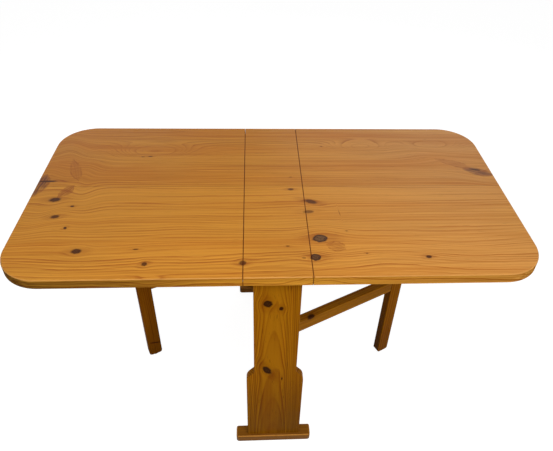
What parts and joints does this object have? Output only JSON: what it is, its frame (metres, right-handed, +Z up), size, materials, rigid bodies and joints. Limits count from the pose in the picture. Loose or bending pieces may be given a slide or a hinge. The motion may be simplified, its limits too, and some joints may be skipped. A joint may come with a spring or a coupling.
{
  "type": "butterfly folding table",
  "caption": "Gateleg folding table: narrow centre leaf on two shouldered trestle boards, with a wide drop leaf each side held up by a swinging gate.",
  "frame": {"origin": "on the floor under the middle of the open top", "axes": "+X along the long axis of the open top, towards the leaf called right; +Y across the top, away from the front trestle; +Z up"},
  "size_m": [1.33, 0.7, 0.74],
  "materials": {
    "pine_top": "honey lacquer, satin, knotty pine",
    "pine_frame": "honey lacquer, satin, knotty pine",
    "beech": "bare, glued",
    "hinge_steel": "yellow zinc plated",
    "screw_steel": "yellow zinc plated",
    "pivot_steel": "bright drawn steel",
    "white_nylon": "moulded, slightly worn"
  },
  "bodies": {
    "base": {"batten_screws": "screw_steel", "centre_leaf": "pine_top", "centre_leaf_hinge_screws": "screw_steel", "foot_dowels": "beech", "foot_screws": "screw_steel", "front_foot": "pine_frame", "front_top_batten": "pine_frame", "front_trestle_board": "pine_frame", "gate_pivot_pins": "pivot_steel", "left_front_hinge_fixed_flap": "hinge_steel", "left_front_hinge_pin": "hinge_steel", "left_rear_hinge_fixed_flap": "hinge_steel", "left_rear_hinge_pin": "hinge_steel", "lower_stretcher": "pine_frame", "rear_foot": "pine_frame", "rear_top_batten": "pine_frame", "rear_trestle_board": "pine_frame", "right_front_hinge_fixed_flap": "hinge_steel", "right_front_hinge_pin": "hinge_steel", "right_rear_hinge_fixed_flap": "hinge_steel", "right_rear_hinge_pin": "hinge_steel", "stretcher_dowels": "beech", "top_screws": "screw_steel", "upper_stretcher": "pine_frame"},
    "right_leaf": {"right_front_hinge_moving_flap": "hinge_steel", "right_gate_stop": "pine_frame", "right_leaf": "pine_top", "right_leaf_screws": "screw_steel", "right_rear_hinge_moving_flap": "hinge_steel"},
    "left_leaf": {"left_front_hinge_moving_flap": "hinge_steel", "left_gate_stop": "pine_frame", "left_leaf": "pine_top", "left_leaf_screws": "screw_steel", "left_rear_hinge_moving_flap": "hinge_steel"},
    "right_gate": {"right_gate_glide": "white_nylon", "right_gate_leg": "pine_frame", "right_gate_lower_rail": "pine_frame", "right_gate_stile": "pine_frame", "right_gate_upper_rail": "pine_frame"},
    "left_gate": {"left_gate_glide": "white_nylon", "left_gate_leg": "pine_frame", "left_gate_lower_rail": "pine_frame", "left_gate_stile": "pine_frame", "left_gate_upper_rail": "pine_frame"}
  },
  "joints": [
    {"name": "right_leaf_hinge", "type": "hinge", "parent": "base", "child": "right_leaf", "pos_m": [0.08335, 0, 0.709], "axis": [0, 1, 0], "range_deg": [-1, 0]},
    {"name": "left_leaf_hinge", "type": "hinge", "parent": "base", "child": "left_leaf", "pos_m": [-0.08335, 0, 0.709], "axis": [0, -1, 0], "range_deg": [-1, 0]},
    {"name": "right_gate_swing", "type": "hinge", "parent": "base", "child": "right_gate", "pos_m": [0.014, -0.196, 0.334], "axis": [0, 0, 1], "range_deg": [0, 58.5]},
    {"name": "left_gate_swing", "type": "hinge", "parent": "base", "child": "left_gate", "pos_m": [-0.014, 0.196, 0.334], "axis": [0, 0, 1], "range_deg": [0, 62]}
  ]
}
